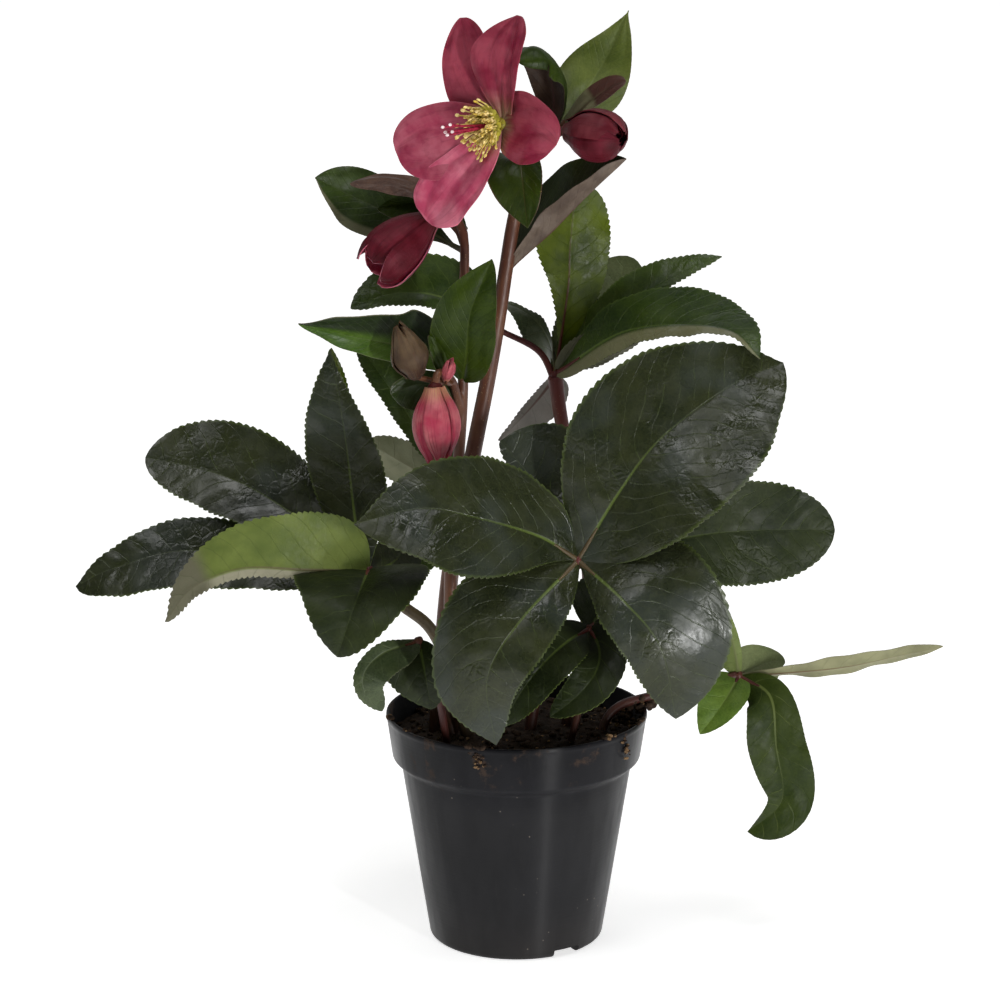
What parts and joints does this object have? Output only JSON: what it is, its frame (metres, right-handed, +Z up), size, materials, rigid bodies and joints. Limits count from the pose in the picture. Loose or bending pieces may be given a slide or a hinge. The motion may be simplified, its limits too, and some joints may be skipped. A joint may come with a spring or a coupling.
{
  "type": "hellebore plant in nursery pot",
  "caption": "Potted hellebore: dark palmate leaves with toothed leaflets, upright stems with green bracts, a dusky rose open flower with yellow stamens, drooping buds, in a round nursery pot.",
  "frame": {"origin": "centre of the pot's base, on the surface it stands on", "axes": "+Z up along the pot's axis; +X to the right as the open flower and the large leaf are seen from the front; +Y away from the viewer, so the front is -Y"},
  "size_m": [0.4237, 0.2318, 0.4625],
  "materials": {
    "pot": "satin charcoal-black moulded plastic",
    "soil": "matt, crumbly dark brown potting compost with tan grains",
    "stalk": "satin red-brown plant stalk, speckled",
    "leaf": "leathery semi-gloss very dark green leaf, paler olive below, pale veins",
    "bract": "satin mid-green bract",
    "bract_brown": "satin purple-brown bract",
    "sepal": "soft matt dusky rose sepal with darker veins",
    "bud": "soft matt dark maroon half-open bud",
    "stamen": "powdery yellow anthers on pale filaments",
    "style": "satin dark red styles"
  },
  "bodies": {
    "root": {"pot": "pot", "soil": "soil", "leaf_front_stalk": "stalk", "leaf_front_blades": "leaf", "leaf_left_stalk": "stalk", "leaf_left_blades": "leaf", "leaf_right_stalk": "stalk", "leaf_right_blades": "leaf", "leaf_right_far_leaflet": "leaf", "leaf_low_right_stalk": "stalk", "leaf_low_right_blades": "leaf", "leaf_low_left_stalk": "stalk", "leaf_low_left_blades": "leaf", "leaf_low_front_stalk": "stalk", "leaf_low_front_blades": "leaf", "leaf_back_stalk": "stalk", "leaf_back_blades": "leaf", "flower_stem_right": "stalk", "flower_stem_left": "stalk", "bract_left_upright": "bract", "bract_left_cupped": "bract", "bract_left_low": "bract", "bract_left_tall": "bract", "bract_left_brown": "bract_brown", "bract_left_small": "bract", "bract_left_bud_side": "bract", "bract_right_curled": "bract", "bract_right_tall": "bract", "bract_right_brown": "bract_brown", "bract_right_hanging": "bract", "bract_right_trough": "bract", "open_flower_sepals": "sepal", "open_flower_stamens": "stamen", "open_flower_styles": "style", "bud_left": "bud", "bud_right": "bud", "bud_hanging": "sepal", "bud_young_brown": "bract_brown", "bud_tiny": "sepal"}
  },
  "joints": []
}
